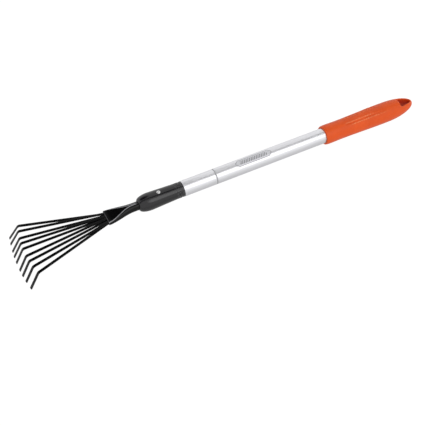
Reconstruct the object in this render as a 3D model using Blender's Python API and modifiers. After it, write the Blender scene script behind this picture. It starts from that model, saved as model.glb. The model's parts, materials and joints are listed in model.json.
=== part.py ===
"""Hand leaf rake: nine flat spring tines on a twist-lock telescopic handle with a moulded grip.

Metres, +Z up. Every piece is laid out in the frame of the empty rake_frame. Its X axis is the
centre line of the tubes, with the tines towards -X, the grip towards +X, and the joint between
the two handle tubes at X = 0. The empty is pitched a little, so that the tine tips and the belly
of the grip rest on the plane Z = 0, with the middle of the rake over the world's origin.
"""

import math

import bmesh
import bpy
from mathutils import Matrix, Vector

GAP = 0.0003
AXIS_SIDES = 36
CUTTER_OVERRUN = 0.01

# Handle tubes
TUBE_RADIUS = 0.0125
TUBE_WALL = 0.001
INNER_TUBE_RADIUS = 0.010
INNER_TUBE_WALL = 0.0012
INNER_TUBE_ENDS = (-0.1034, 0.225)
OUTER_TUBE_END = 0.320
BUSH_FLANGE = 0.0008
BUSH_FRONT = -0.0002
BUSH_FLANGE_INSET = 0.0002
BUSH_LENGTH = 0.023
SLEEVE_START = -0.0543
SLEEVE_END = -0.0005
SLEEVE_STEP = 0.00005

# Ferrule and collar
FERRULE_NOSE = -0.1274
FERRULE_SHOULDER = -0.109
FERRULE_REAR = -0.0663
FERRULE_NOSE_RADIUS = 0.0076
FERRULE_SHOULDER_RADIUS = 0.0139
FERRULE_REAR_RADIUS = 0.0122
FERRULE_SOCKET_END = INNER_TUBE_ENDS[0] - GAP
FERRULE_CORE_END = -0.076
COLLAR_RADIUS = 0.0122
COLLAR_EDGE = 0.0003
COLLAR_GROOVE = (0.0024, 0.0048)
COLLAR_GROOVE_SIDE = 0.0004
COLLAR_GROOVE_DEPTH = 0.0005
COLLAR_SPIGOT_END = -0.003
COLLAR_NOTCHES = 20
COLLAR_NOTCH_STATION = 0.0032
COLLAR_NOTCH_SIZE = (0.0036, 0.0016, 0.0017)
RIVET_STATION = -0.0935
RIVET_HEAD_RADIUS = 0.003
RIVET_SHANK_RADIUS = 0.0016
RIVET_HEAD = ((0.0004, 0.0), (0.0004, 0.0009), (0.0011, 0.0010), (0.0009, 0.0019), (0.0004, 0.0027))
RIVET_FOOT_RADIUS = 0.0022
RIVET_FOOT_LENGTH = 0.003
SPOT_FACE_DEPTH = 0.0004

# Head socket: a steel tube pressed flat towards the tines
NECK_RADIUS = 0.0069
NECK_WALL = 0.001
NECK_REAR = -0.074
FLARE_START = -0.136
PLATE_FRONT = -0.179
PLATE_HALF_WIDTH = 0.0138
PLATE_HALF_HEIGHT = 0.0036
PLATE_DROP = 0.0012

# Tines, from the +Y side to the -Y side
TINE_WIDTH = 0.004
TINE_THICKNESS = 0.0012
TINE_EDGE = 0.0002
TINE_ROOT = -0.168
TINE_ROOT_PITCH = 0.00215
TINE_LAYER = 0.001
TINE_MOUTHS_Y = (0.0100, 0.0090, 0.0057, 0.0030, 0.0014, -0.0020, -0.0043, -0.0097, -0.0100)
TINE_KNEES_Y = (0.0458, 0.0360, 0.0230, 0.0134, 0.0027, -0.0115, -0.0220, -0.0334, -0.0463)
SPLAY_STATION = -0.181
FAN_APEX = -0.1395
FAN_RADIUS = 0.1665
KNEE_DROP = 0.003
KNEE_ROUNDING = 0.0045
KNEE_STEPS = 5
TIP_LENGTH = 0.030
TIP_BEND = math.radians(60.5)
OUTER_TIP_BEND = math.radians(55.5)
TIP_SPLAY = 0.7

# Grip
GRIP_MOUTH = 0.1975
GRIP_BORE_END = OUTER_TUBE_END + 0.002
GRIP_TIP = 0.3738
GRIP_LIP_RADIUS = 0.0160
GRIP_LIP_LENGTH = 0.008
GRIP_LIP_ROUNDING = 0.0014
GRIP_WAIST = 0.228
GRIP_WAIST_RADIUS = 0.0157
GRIP_BELLY = 0.309
GRIP_BELLY_RADIUS = 0.0169
GRIP_NOSE_START = 0.320
NOSE_CLOSING = 0.999
NOSE_TOP_POWER = 0.85
NOSE_UNDERSIDE_POWER = 1.15
HANG_HOLE = (0.344, 0.3685)
HANG_HOLE_HALF_WIDTH = 0.0079
HANG_HOLE_CORNER = 0.003
HANG_HOLE_TAPER = 0.62
HANG_HOLE_REST = 0.0016
HANG_HOLE_FLARE = 20.0
HANG_CUTTER_REACH = 0.03

# Badge on top of the outer tube
BADGE_ENDS = (0.0355, 0.0995)
BADGE_HALF_WIDTH = 0.0062
BADGE_POINT = 0.006
BADGE_TURN = math.radians(12)
BADGE_THICKNESS = 0.0003

# Twist lock inside the outer tube
PLUG_START = 0.205
PLUG_FLANGE = 0.003
SCREW_RADIUS = 0.003
SCREW_ENDS = (0.209, 0.2675)
EXPANDER_ENDS = (0.230, 0.254)
EXPANDER_WEB = 0.004
EXPANDER_SLOTS = 4
EXPANDER_SLOT_WIDTH = 0.0016
EXPANDER_SLOT_START = 0.239
CONE_ENDS = (0.238, 0.256)
CONE_RADII = (0.0070, 0.0104)
CONE_CLEARANCE = 0.00035
KEY_HALF_WIDTH = 0.0005
STOP_NUT_ENDS = (0.261, 0.266)
STOP_NUT_RADIUS = 0.0058

BLACK_STEEL = ("black_steel", (0.012, 0.012, 0.013), 0.25, 0.0)
BLACK_PLASTIC = ("black_plastic", (0.018, 0.018, 0.020), 0.32, 0.0)
GREY_PLASTIC = ("grey_plastic", (0.10, 0.10, 0.11), 0.45, 0.0)
WHITE_PLASTIC = ("white_plastic", (0.78, 0.78, 0.76), 0.45, 0.0)
ALUMINIUM = ("aluminium", (0.80, 0.80, 0.82), 0.30, 1.0)
ZINC_STEEL = ("zinc_steel", (0.62, 0.63, 0.65), 0.35, 1.0)
ORANGE_PLASTIC = ("orange_plastic", (0.78, 0.10, 0.02), 0.38, 0.0)
PRINTED_FILM = ("printed_film", (0.62, 0.63, 0.66), 0.35, 0.0)


def ease(t):
    """Runs smoothly from 0 to 1 as t does."""
    t = min(max(t, 0.0), 1.0)
    return t * t * (3.0 - 2.0 * t)


def blend(start, end, t):
    return start + (end - start) * t


def spaced(start, end, count):
    return [blend(start, end, i / (count - 1)) for i in range(count)]


def clear_scene():
    for old in list(bpy.data.objects):
        bpy.data.objects.remove(old, do_unlink=True)


def new_collection(name):
    collection = bpy.data.collections.new(name)
    bpy.context.scene.collection.children.link(collection)
    return collection


def tip_point():
    """(x, z) of the lowest corner of the middle tines' tips."""
    x = FAN_APEX - FAN_RADIUS - TIP_LENGTH * math.cos(TIP_BEND)
    z = -KNEE_DROP - TIP_LENGTH * math.sin(TIP_BEND) - TINE_THICKNESS / 2 * math.cos(TIP_BEND)
    return x, z


def new_rake_frame():
    """The empty that carries every piece, pitched to rest on the tine tips and the grip's belly."""
    tip_x, tip_z = tip_point()
    pitch = math.atan((-tip_z - GRIP_BELLY_RADIUS) / (GRIP_NOSE_START - tip_x))
    frame = bpy.data.objects.new("rake_frame", None)
    bpy.context.scene.collection.objects.link(frame)
    frame.rotation_euler = (0.0, pitch, 0.0)
    height = tip_x * math.sin(pitch) - tip_z * math.cos(pitch)
    frame.location = (-(tip_x + GRIP_TIP) / 2, 0.0, height)
    return frame


def paint(piece, finish):
    name, colour, roughness, metallic = finish
    material = bpy.data.materials.new(piece.name + "_" + name)
    material.use_nodes = True
    shader = material.node_tree.nodes["Principled BSDF"]
    shader.inputs["Base Color"].default_value = (*colour, 1.0)
    shader.inputs["Roughness"].default_value = roughness
    shader.inputs["Metallic"].default_value = metallic
    piece.data.materials.append(material)


def add_piece(name, mesh, finish):
    piece = bpy.data.objects.new(name, mesh)
    PIECES.objects.link(piece)
    piece.parent = RAKE_FRAME
    paint(piece, finish)
    return piece


def add_cutter(name, mesh):
    cutter = bpy.data.objects.new(name, mesh)
    CUTTERS.objects.link(cutter)
    cutter.parent = RAKE_FRAME
    cutter.hide_render = True
    cutter.display_type = "WIRE"
    return cutter


def cut(piece, cutter):
    modifier = piece.modifiers.new("Cut " + cutter.name, "BOOLEAN")
    modifier.operation = "DIFFERENCE"
    modifier.object = cutter


def mesh_of(name, shape):
    mesh = bpy.data.meshes.new(name)
    shape.to_mesh(mesh)
    shape.free()
    mesh.shade_smooth()
    mesh.set_sharp_from_angle(angle=math.radians(35))
    return mesh


def turned(name, outline, finish, sides=AXIS_SIDES):
    """A body turned about the X axis, from (x, radius) points.

    The outline runs down the outer side from +X to -X. A solid's outline starts and ends on the
    axis, and a hollow body's outline comes back along its bore.
    """
    mesh = bpy.data.meshes.new(name)
    points = [(radius, 0.0, x) for x, radius in outline]
    edges = [(i, i + 1) for i in range(len(points) - 1)]
    if outline[0][1] > 0.0:
        edges.append((len(points) - 1, 0))
    mesh.from_pydata(points, edges, [])
    piece = add_piece(name, mesh, finish)
    piece.rotation_euler = (0.0, math.pi / 2, 0.0)
    turn = piece.modifiers.new("Turn", "SCREW")
    turn.axis = "Z"
    turn.steps = sides
    turn.render_steps = sides
    turn.use_merge_vertices = True
    turn.merge_threshold = 0.00001
    return piece


def tube(name, ends, outer, inner, finish):
    start, end = ends
    return turned(name, [(end, outer), (start, outer), (start, inner), (end, inner)], finish)


def cylinder_cutter(name, radius, start, end, sides=AXIS_SIDES):
    """A cylinder between two points of the rake frame."""
    start, end = Vector(start), Vector(end)
    turn = (end - start).to_track_quat("Z", "Y").to_matrix().to_4x4()
    shape = bmesh.new()
    bmesh.ops.create_cone(
        shape,
        cap_ends=True,
        segments=sides,
        radius1=radius,
        radius2=radius,
        depth=(end - start).length,
        matrix=Matrix.Translation((start + end) / 2) @ turn,
    )
    return add_cutter(name, mesh_of(name, shape))


def spokes_cutter(name, count, size, distance, station):
    """Boxes set round the X axis, each of the given (length, radial depth, width)."""
    shape = bmesh.new()
    for i in range(count):
        place = Matrix.Rotation(math.tau * i / count, 4, "X") @ Matrix.Translation((station, 0.0, distance))
        length, depth, width = size
        bmesh.ops.create_cube(shape, size=1.0, matrix=place @ Matrix.Diagonal((length, width, depth, 1.0)))
    return add_cutter(name, mesh_of(name, shape))


def loft(name, rings, closes_on_itself=False):
    """A mesh through rings of points. It is capped at both ends, or runs back to its first ring."""
    shape = bmesh.new()
    loops = [[shape.verts.new(point) for point in ring] for ring in rings]
    pairs = list(zip(loops, loops[1:]))
    if closes_on_itself:
        pairs.append((loops[-1], loops[0]))
    else:
        shape.faces.new(loops[0])
        shape.faces.new(loops[-1])
    for one, other in pairs:
        for i in range(len(one)):
            shape.faces.new((one[i - 1], one[i], other[i], other[i - 1]))
    bmesh.ops.recalc_face_normals(shape, faces=shape.faces)
    return mesh_of(name, shape)


def stadium(half_width, half_height, sides=AXIS_SIDES):
    """(y, z) points round a flattened circle: two half circles joined by straight sides."""
    points = []
    for i in range(sides):
        angle = math.tau * (i + 0.5) / sides
        side = math.copysign(half_width - half_height, math.cos(angle))
        points.append((side + half_height * math.cos(angle), half_height * math.sin(angle)))
    return points


def ferrule_radius(x):
    """Radius of the ferrule's outer side: a rounded nose, then a straight taper to the rear."""
    if x < FERRULE_SHOULDER:
        t = (FERRULE_SHOULDER - x) / (FERRULE_SHOULDER - FERRULE_NOSE)
        return blend(FERRULE_NOSE_RADIUS, FERRULE_SHOULDER_RADIUS, math.sqrt(1.0 - t * t))
    t = (x - FERRULE_SHOULDER) / (FERRULE_REAR - FERRULE_SHOULDER)
    return blend(FERRULE_SHOULDER_RADIUS, FERRULE_REAR_RADIUS, t)


def make_ferrule():
    """Moulded ferrule: the inner tube sits round its core, and the steel neck runs through it."""
    outline = [(FERRULE_REAR, FERRULE_REAR_RADIUS)]
    outline.append((FERRULE_SHOULDER, FERRULE_SHOULDER_RADIUS))
    for i in range(1, 9):
        x = blend(FERRULE_SHOULDER, FERRULE_NOSE, math.sin(math.pi / 2 * i / 8))
        outline.append((x, ferrule_radius(x)))
    bore = NECK_RADIUS + GAP
    core = INNER_TUBE_RADIUS - INNER_TUBE_WALL - GAP
    socket = INNER_TUBE_RADIUS + GAP
    outline += [(FERRULE_NOSE, bore), (FERRULE_CORE_END, bore), (FERRULE_CORE_END, core)]
    outline += [(FERRULE_SOCKET_END, core), (FERRULE_SOCKET_END, socket), (FERRULE_REAR, socket)]
    ferrule = turned("ferrule", outline, BLACK_PLASTIC)
    cut(ferrule, RIVET_HOLE)
    spot_face = (RIVET_STATION, 0.0, ferrule_radius(RIVET_STATION) - SPOT_FACE_DEPTH)
    above = (RIVET_STATION, 0.0, FERRULE_SHOULDER_RADIUS + CUTTER_OVERRUN)
    cut(ferrule, cylinder_cutter("rivet_spot_face", RIVET_HEAD_RADIUS + GAP, spot_face, above, 24))


def make_rivet():
    """Blind rivet down through the ferrule, the inner tube and the neck, with its head on top."""
    seat = ferrule_radius(RIVET_STATION) - SPOT_FACE_DEPTH + GAP
    neck_bore = NECK_RADIUS - NECK_WALL
    foot_end = neck_bore - RIVET_FOOT_LENGTH
    outline = [(seat + rise, radius) for rise, radius in RIVET_HEAD]
    outline += [(seat, RIVET_HEAD_RADIUS), (seat, RIVET_SHANK_RADIUS)]
    outline += [(neck_bore - 2 * GAP, RIVET_SHANK_RADIUS), (neck_bore - 3 * GAP, RIVET_FOOT_RADIUS)]
    outline += [(foot_end + GAP, RIVET_FOOT_RADIUS), (foot_end, RIVET_SHANK_RADIUS), (foot_end, 0.0)]
    rivet = turned("ferrule_rivet", outline, ZINC_STEEL, 20)
    rivet.rotation_euler = (0.0, 0.0, 0.0)
    rivet.location = (RIVET_STATION, 0.0, 0.0)


def make_collar():
    """Collar behind the ferrule, with a ring of notches, a groove, and a spigot for the sleeve."""
    front = FERRULE_REAR + GAP
    rear = SLEEVE_START - GAP
    spigot = TUBE_RADIUS - TUBE_WALL - GAP
    bore = INNER_TUBE_RADIUS + GAP
    edge = COLLAR_RADIUS - COLLAR_EDGE
    groove_rear, groove_front = rear - COLLAR_GROOVE[0], rear - COLLAR_GROOVE[1]
    floor = COLLAR_RADIUS - COLLAR_GROOVE_DEPTH
    outline = [(COLLAR_SPIGOT_END, spigot), (rear, spigot), (rear, edge)]
    outline += [(rear - COLLAR_EDGE, COLLAR_RADIUS), (groove_rear, COLLAR_RADIUS)]
    outline += [(groove_rear - COLLAR_GROOVE_SIDE, floor), (groove_front + COLLAR_GROOVE_SIDE, floor)]
    outline += [(groove_front, COLLAR_RADIUS), (front + COLLAR_EDGE, COLLAR_RADIUS)]
    outline += [(front, edge), (front, bore), (COLLAR_SPIGOT_END, bore)]
    collar = turned("collar", outline, BLACK_PLASTIC)
    station = front + COLLAR_NOTCH_STATION
    cut(collar, spokes_cutter("collar_notches", COLLAR_NOTCHES, COLLAR_NOTCH_SIZE, COLLAR_RADIUS, station))


def make_tubes():
    inner_bore = INNER_TUBE_RADIUS - INNER_TUBE_WALL
    inner = tube("inner_tube", INNER_TUBE_ENDS, INNER_TUBE_RADIUS, inner_bore, ALUMINIUM)
    cut(inner, RIVET_HOLE)
    bore = TUBE_RADIUS - TUBE_WALL
    sleeve_ends = (SLEEVE_START, SLEEVE_END)
    tube("lower_sleeve", sleeve_ends, TUBE_RADIUS - SLEEVE_STEP, bore, ALUMINIUM)
    outer_ends = (BUSH_FLANGE + GAP, OUTER_TUBE_END)
    tube("outer_tube", outer_ends, TUBE_RADIUS, bore, ALUMINIUM)


def make_bush():
    """Plain bearing in the outer tube's mouth. Its thin flange shows as the line between the tubes."""
    body = TUBE_RADIUS - TUBE_WALL - GAP
    bore = INNER_TUBE_RADIUS + GAP
    flange = TUBE_RADIUS - BUSH_FLANGE_INSET
    outline = [(BUSH_LENGTH, body), (BUSH_FLANGE, body), (BUSH_FLANGE, flange)]
    outline += [(BUSH_FRONT, flange), (BUSH_FRONT, bore), (BUSH_LENGTH, bore)]
    turned("tube_bush", outline, GREY_PLASTIC)


def make_head_socket():
    """Steel tube, round in the ferrule and pressed flat and wide where the tines go in."""
    stations = [NECK_REAR, FLARE_START] + spaced(FLARE_START, PLATE_FRONT, 9)[1:]

    def ring(x, wall):
        t = ease((FLARE_START - x) / (FLARE_START - PLATE_FRONT))
        half_width = blend(NECK_RADIUS, PLATE_HALF_WIDTH, t) - wall
        half_height = blend(NECK_RADIUS, PLATE_HALF_HEIGHT, t) - wall
        return [(x, y, z - t * PLATE_DROP) for y, z in stadium(half_width, half_height, 28)]

    rings = [ring(x, 0.0) for x in stations]
    rings += [ring(x, NECK_WALL) for x in reversed(stations)]
    socket = add_piece("head_socket", loft("head_socket", rings, closes_on_itself=True), BLACK_STEEL)
    cut(socket, RIVET_HOLE)


def tine_path(root_y, mouth_y, knee_y, layer_z):
    """Centre line of a tine: along the socket, out to its knee, and down round it to the tip."""
    root = Vector((TINE_ROOT, root_y, layer_z))
    splay = Vector((SPLAY_STATION, mouth_y, layer_z))
    knee = Vector((FAN_APEX - math.sqrt(FAN_RADIUS**2 - knee_y**2), knee_y, -KNEE_DROP))
    shaft = (knee - splay).normalized()
    heading = Vector((shaft.x, shaft.y * TIP_SPLAY, 0.0)).normalized()
    tip_bend = blend(TIP_BEND, OUTER_TIP_BEND, (knee_y / TINE_KNEES_Y[0]) ** 2)
    tip = heading * math.cos(tip_bend) - Vector((0.0, 0.0, math.sin(tip_bend)))
    bend = shaft.angle(tip)
    reach = KNEE_ROUNDING * math.tan(bend / 2)
    arc_start = knee - shaft * reach
    axis = shaft.cross(tip).normalized()
    centre = arc_start + axis.cross(shaft) * KNEE_ROUNDING
    path = [root, splay]
    for i in range(KNEE_STEPS + 1):
        spin = Matrix.Rotation(bend * i / KNEE_STEPS, 3, axis)
        path.append(centre + spin @ (arc_start - centre))
    path.append(knee + tip * TIP_LENGTH)
    return path


def make_tine(number, mouth_y, knee_y):
    """A flat spring strip: a grid laid along the path, given its thickness and worn edges.

    The roots lie in two layers, the even tines over the odd ones, so that they fit in the socket.
    """
    layer_z = (-TINE_LAYER if number % 2 else TINE_LAYER) - PLATE_DROP
    root_y = ((len(TINE_MOUTHS_Y) + 1) / 2 - number) * TINE_ROOT_PITCH
    path = tine_path(root_y, mouth_y, knee_y, layer_z)
    up = Vector((0.0, 0.0, 1.0))
    runs = [up.cross(end - start).normalized() for start, end in zip(path, path[1:])]
    sides = [(one + other).normalized() for one, other in zip([runs[0]] + runs, runs + [runs[-1]])]
    shape = bmesh.new()
    bmesh.ops.create_grid(shape, x_segments=len(path) - 1, y_segments=1, size=0.5)
    for vert in shape.verts:
        step = round((vert.co.x + 0.5) * (len(path) - 1))
        vert.co = path[step] + sides[step] * (vert.co.y * TINE_WIDTH)
    name = f"tine_{number}"
    tine = add_piece(name, mesh_of(name, shape), BLACK_STEEL)
    thicken = tine.modifiers.new("Thickness", "SOLIDIFY")
    thicken.thickness = TINE_THICKNESS
    thicken.offset = 0.0
    thicken.use_even_offset = True
    round_off = tine.modifiers.new("Worn edges", "BEVEL")
    round_off.width = TINE_EDGE
    round_off.segments = 1
    round_off.limit_method = "ANGLE"
    round_off.angle_limit = math.radians(60)


def grip_radius(x):
    """Radius of the grip before its end flattens: a lip, a slight waist, then the full belly."""
    if x < GRIP_WAIST:
        swell = ease((GRIP_WAIST - x) / (GRIP_WAIST - GRIP_MOUTH - GRIP_LIP_LENGTH))
        radius = blend(GRIP_WAIST_RADIUS, GRIP_LIP_RADIUS, swell)
    else:
        swell = ease((x - GRIP_WAIST) / (GRIP_BELLY - GRIP_WAIST))
        radius = blend(GRIP_WAIST_RADIUS, GRIP_BELLY_RADIUS, swell)
    to_mouth = max(0.0, 1.0 - (x - GRIP_MOUTH) / GRIP_LIP_LENGTH)
    return radius - GRIP_LIP_ROUNDING * (1.0 - math.sqrt(1.0 - to_mouth**2))


def nose_share(x):
    """How much of the belly's radius is left at x, as the grip narrows to its elliptic end.

    The ellipse stops just short of closing, which leaves a last small ring for the loft's cap.
    """
    along = max(0.0, x - GRIP_NOSE_START) / (GRIP_TIP - GRIP_NOSE_START)
    return math.sqrt(1.0 - NOSE_CLOSING * along**2)


def grip_ring(x, sides=AXIS_SIDES):
    """Section of the grip at x. The underside of the nose rises more than its top falls."""
    radius = grip_radius(x)
    share = nose_share(x)
    ring = []
    for i in range(sides):
        angle = math.tau * i / sides
        power = NOSE_TOP_POWER if math.sin(angle) > 0.0 else NOSE_UNDERSIDE_POWER
        ring.append((x, radius * share * math.cos(angle), radius * share**power * math.sin(angle)))
    return ring


def hang_hole_outline(steps=10):
    """(x, y) points round the hang hole at mid height: a pointed arch with a short flat crown.

    The hole widens upward, by HANG_HOLE_FLARE for each metre of height.
    """
    base, crown = HANG_HOLE
    springing = base + HANG_HOLE_CORNER
    half = []
    for i in range(4):
        angle = math.pi / 2 * i / 4
        width = HANG_HOLE_HALF_WIDTH - HANG_HOLE_CORNER * (1.0 - math.sin(angle))
        half.append((springing - HANG_HOLE_CORNER * math.cos(angle), width))
    for i in range(steps + 1):
        from_crown = (1.0 - i / steps) ** 2
        width = blend(HANG_HOLE_REST, HANG_HOLE_HALF_WIDTH, from_crown**HANG_HOLE_TAPER)
        half.append((blend(crown, springing, from_crown), width))
    return half + [(x, -y) for x, y in reversed(half)]


def make_grip():
    """Moulded grip, blind on the outer tube, with a hang hole through its narrowing end."""
    stations = [GRIP_MOUTH + GRIP_LIP_LENGTH * (1.0 - math.cos(math.pi / 2 * i / 4)) for i in range(4)]
    stations += spaced(GRIP_MOUTH + GRIP_LIP_LENGTH, GRIP_BELLY, 8)
    stations += [blend(GRIP_NOSE_START, GRIP_TIP, math.sin(math.pi / 2 * i / 14)) for i in range(15)]
    mesh = loft("grip", [grip_ring(x) for x in stations])
    grip = add_piece("grip", mesh, ORANGE_PLASTIC)
    before_mouth = (GRIP_MOUTH - CUTTER_OVERRUN, 0.0, 0.0)
    cut(grip, cylinder_cutter("grip_bore", TUBE_RADIUS + GAP, before_mouth, (GRIP_BORE_END, 0.0, 0.0)))
    rings = []
    for z in (-HANG_CUTTER_REACH, HANG_CUTTER_REACH):
        widening = 1.0 + HANG_HOLE_FLARE * z
        rings.append([(x, y * widening, z) for x, y in hang_hole_outline()])
    cut(grip, add_cutter("hang_hole", loft("hang_hole", rings)))


def make_badge():
    """Blank badge, pointed at both ends and bent round the tube, a little to the -Y side of its top."""
    columns = 10
    rows = 6
    start, end = BADGE_ENDS
    inner_face = TUBE_RADIUS + GAP
    shape = bmesh.new()
    bmesh.ops.create_grid(shape, x_segments=columns, y_segments=rows, size=0.5)
    stations = [start, start + BADGE_POINT / 2] + spaced(start + BADGE_POINT, end - BADGE_POINT, columns - 3)
    stations += [end - BADGE_POINT / 2, end]
    for vert in shape.verts:
        x = stations[round((vert.co.x + 0.5) * columns)]
        from_end = min(x - start, end - x) / BADGE_POINT
        half_width = BADGE_HALF_WIDTH * blend(0.2, 1.0, min(from_end, 1.0))
        angle = 2.0 * vert.co.y * half_width / inner_face - BADGE_TURN
        vert.co = (x, inner_face * math.sin(angle), inner_face * math.cos(angle))
    bmesh.ops.recalc_face_normals(shape, faces=shape.faces)
    badge = add_piece("name_badge", mesh_of("name_badge", shape), PRINTED_FILM)
    thicken = badge.modifiers.new("Thickness", "SOLIDIFY")
    thicken.thickness = BADGE_THICKNESS
    thicken.offset = 1.0


def make_plug():
    """Plug in the end of the inner tube, bored for the lock's screw."""
    flange_start = INNER_TUBE_ENDS[1] + GAP
    body = INNER_TUBE_RADIUS - INNER_TUBE_WALL - GAP
    bore = SCREW_RADIUS + GAP
    outline = [(flange_start + PLUG_FLANGE, INNER_TUBE_RADIUS), (flange_start, INNER_TUBE_RADIUS)]
    outline += [(flange_start, body), (PLUG_START, body), (PLUG_START, bore)]
    outline += [(flange_start + PLUG_FLANGE, bore)]
    turned("expander_plug", outline, WHITE_PLASTIC, 28)


def make_screw():
    start, end = SCREW_ENDS
    outline = [(end, 0.0), (end, SCREW_RADIUS - 0.0005), (end - 0.0005, SCREW_RADIUS)]
    outline += [(start, SCREW_RADIUS), (start, 0.0)]
    turned("expander_screw", outline, ZINC_STEEL, 20)


def cone_radius(x):
    """Radius of the expander's conical seat at x."""
    small, large = CONE_RADII
    start, end = EXPANDER_ENDS
    return blend(small, large, (x - start - EXPANDER_WEB - 0.002) / (end - start - EXPANDER_WEB - 0.002))


def make_expander_sleeve():
    """Slotted sleeve that the cone spreads against the bore of the outer tube."""
    start, end = EXPANDER_ENDS
    skin = TUBE_RADIUS - TUBE_WALL - GAP
    web = start + EXPANDER_WEB
    outline = [(end, skin), (start + 0.001, skin), (start, skin - 0.001)]
    outline += [(start, SCREW_RADIUS + GAP), (web, SCREW_RADIUS + GAP), (web, cone_radius(web + 0.002))]
    outline += [(web + 0.002, cone_radius(web + 0.002)), (end, cone_radius(end))]
    sleeve = turned("expander_sleeve", outline, GREY_PLASTIC, 32)
    length = end - EXPANDER_SLOT_START + 0.004
    size = (length, 0.006, EXPANDER_SLOT_WIDTH)
    station = EXPANDER_SLOT_START + length / 2
    cut(sleeve, spokes_cutter("expander_slots", EXPANDER_SLOTS, size, skin - 0.001, station))


def make_cone():
    """Cone nut on the screw, with a key in the expander's top slot that keeps it from turning."""
    start, end = CONE_ENDS
    small = cone_radius(start) - CONE_CLEARANCE
    large = cone_radius(EXPANDER_ENDS[1]) - CONE_CLEARANCE
    bore = SCREW_RADIUS + GAP
    outline = [(end, large), (EXPANDER_ENDS[1], large), (start, small), (start, bore), (end, bore)]
    cone = turned("expander_cone", outline, ZINC_STEEL, 32)
    key = bmesh.new()
    key_start = 0.246
    key_size = (end - 0.0002 - key_start, 2 * KEY_HALF_WIDTH, 0.006)
    place = Matrix.Translation(((end - 0.0002 + key_start) / 2, 0.0, 0.0078))
    bmesh.ops.create_cube(key, size=1.0, matrix=place @ Matrix.Diagonal((*key_size, 1.0)))
    join = cone.modifiers.new("Key", "BOOLEAN")
    join.operation = "UNION"
    join.object = add_cutter("cone_key", mesh_of("cone_key", key))


def make_stop_nut():
    """Hexagonal nut at the end of the screw, which keeps the cone on it."""
    start, end = STOP_NUT_ENDS
    shape = bmesh.new()
    place = Matrix.Translation(((start + end) / 2, 0.0, 0.0)) @ Matrix.Rotation(math.pi / 2, 4, "Y")
    size = {"radius1": STOP_NUT_RADIUS, "radius2": STOP_NUT_RADIUS, "depth": end - start}
    bmesh.ops.create_cone(shape, cap_ends=True, segments=6, matrix=place, **size)
    nut = add_piece("expander_stop_nut", mesh_of("expander_stop_nut", shape), ZINC_STEEL)
    middle_to_end = ((start - 0.005, 0.0, 0.0), (end + 0.005, 0.0, 0.0))
    cut(nut, cylinder_cutter("stop_nut_bore", SCREW_RADIUS + GAP, *middle_to_end, 20))


def main():
    make_head_socket()
    for number, (mouth_y, knee_y) in enumerate(zip(TINE_MOUTHS_Y, TINE_KNEES_Y), start=1):
        make_tine(number, mouth_y, knee_y)
    make_ferrule()
    make_rivet()
    make_collar()
    make_tubes()
    make_bush()
    make_badge()
    make_grip()
    make_plug()
    make_screw()
    make_expander_sleeve()
    make_cone()
    make_stop_nut()


clear_scene()
PIECES = new_collection("leaf_rake")
CUTTERS = new_collection("cutters")
RAKE_FRAME = new_rake_frame()
RIVET_HOLE = cylinder_cutter(
    "rivet_hole",
    RIVET_SHANK_RADIUS + GAP,
    (RIVET_STATION, 0.0, 0.003),
    (RIVET_STATION, 0.0, 0.020),
    20,
)
main()
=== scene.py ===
"""Looks of the hand leaf rake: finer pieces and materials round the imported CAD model.

Every new piece is made in the tool frame, in metres: X runs along the centre line of the tubes from
the tines to the grip, with the seam between the two tubes at X = 0, and Z points up.
"""

import json
import math
from functools import cache

import bmesh
import bpy
import numpy as np
from mathutils import Matrix, Vector


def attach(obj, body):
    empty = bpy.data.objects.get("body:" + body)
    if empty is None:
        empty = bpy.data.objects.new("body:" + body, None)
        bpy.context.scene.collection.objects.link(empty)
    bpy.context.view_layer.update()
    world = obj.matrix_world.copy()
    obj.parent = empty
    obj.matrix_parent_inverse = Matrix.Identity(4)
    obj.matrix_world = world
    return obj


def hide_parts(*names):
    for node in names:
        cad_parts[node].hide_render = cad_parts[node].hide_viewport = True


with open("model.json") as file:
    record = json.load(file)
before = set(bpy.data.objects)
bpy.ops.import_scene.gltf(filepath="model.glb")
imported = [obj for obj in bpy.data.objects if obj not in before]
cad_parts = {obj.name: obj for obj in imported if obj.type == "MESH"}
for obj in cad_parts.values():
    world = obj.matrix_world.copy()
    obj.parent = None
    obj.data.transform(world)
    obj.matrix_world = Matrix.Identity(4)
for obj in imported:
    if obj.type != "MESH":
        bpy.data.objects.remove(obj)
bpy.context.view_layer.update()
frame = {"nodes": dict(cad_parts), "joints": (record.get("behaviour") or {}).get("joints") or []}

GAP = 0.0003
SMALL_FILLET = 0.0003
SHARP_ANGLE = math.radians(40)
CUTTER_OVERRUN = 0.01
LOCK_STATION = 0.242
ROUND_SIDES = 96
TUBE_SIDES = 128
FERRULE_SIDES = 240
COLLAR_SIDES = 400
RIVET_SIDES = 48
GRIP_SIDES = 72

# Camera, in the tool frame
CAMERA_PLACE = Vector((-0.35328, -0.67645, 0.86503))
CAMERA_AZIMUTH = math.radians(-27.567)
CAMERA_ELEVATION = math.radians(51.396)
CAMERA_ROLL = math.radians(0.675)
CAMERA_LENS = 63.02
CAMERA_SHIFT = (-0.00117, 0.00117)

# Key light, in the row frame
KEY_DIRECTION = Vector((0.30, -0.64, 0.71))
KEY_DISTANCE = 1.6
KEY_SIZE = 1.1
KEY_POWER = 3.9

# Surround: strength above and below the horizon, the share left straight down, and two dark places
SURROUND = 1.0
BELOW_HORIZON = 0.79
UNDERNEATH = 0.82
HORIZON_FOOT = -0.3
STRIP_FOOT = (0.2, 0.45)
STRIP_LEAN = math.radians(-1)
STRIP_CORE = math.radians(5)
STRIP_EDGE = math.radians(9)
STRIP_DARKNESS = 0.95
PATCH_DIRECTION = Vector((-0.17, 0.545, 0.82))
PATCH_CORE = math.radians(16)
PATCH_EDGE = math.radians(23)
PATCH_DARKNESS = 0.98

# Floor
FLOOR_REACH = 40.0
FLOOR_DROP = 0.0002
FLOOR_GREY = 0.12
FLOOR_GLOW = 0.94

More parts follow.
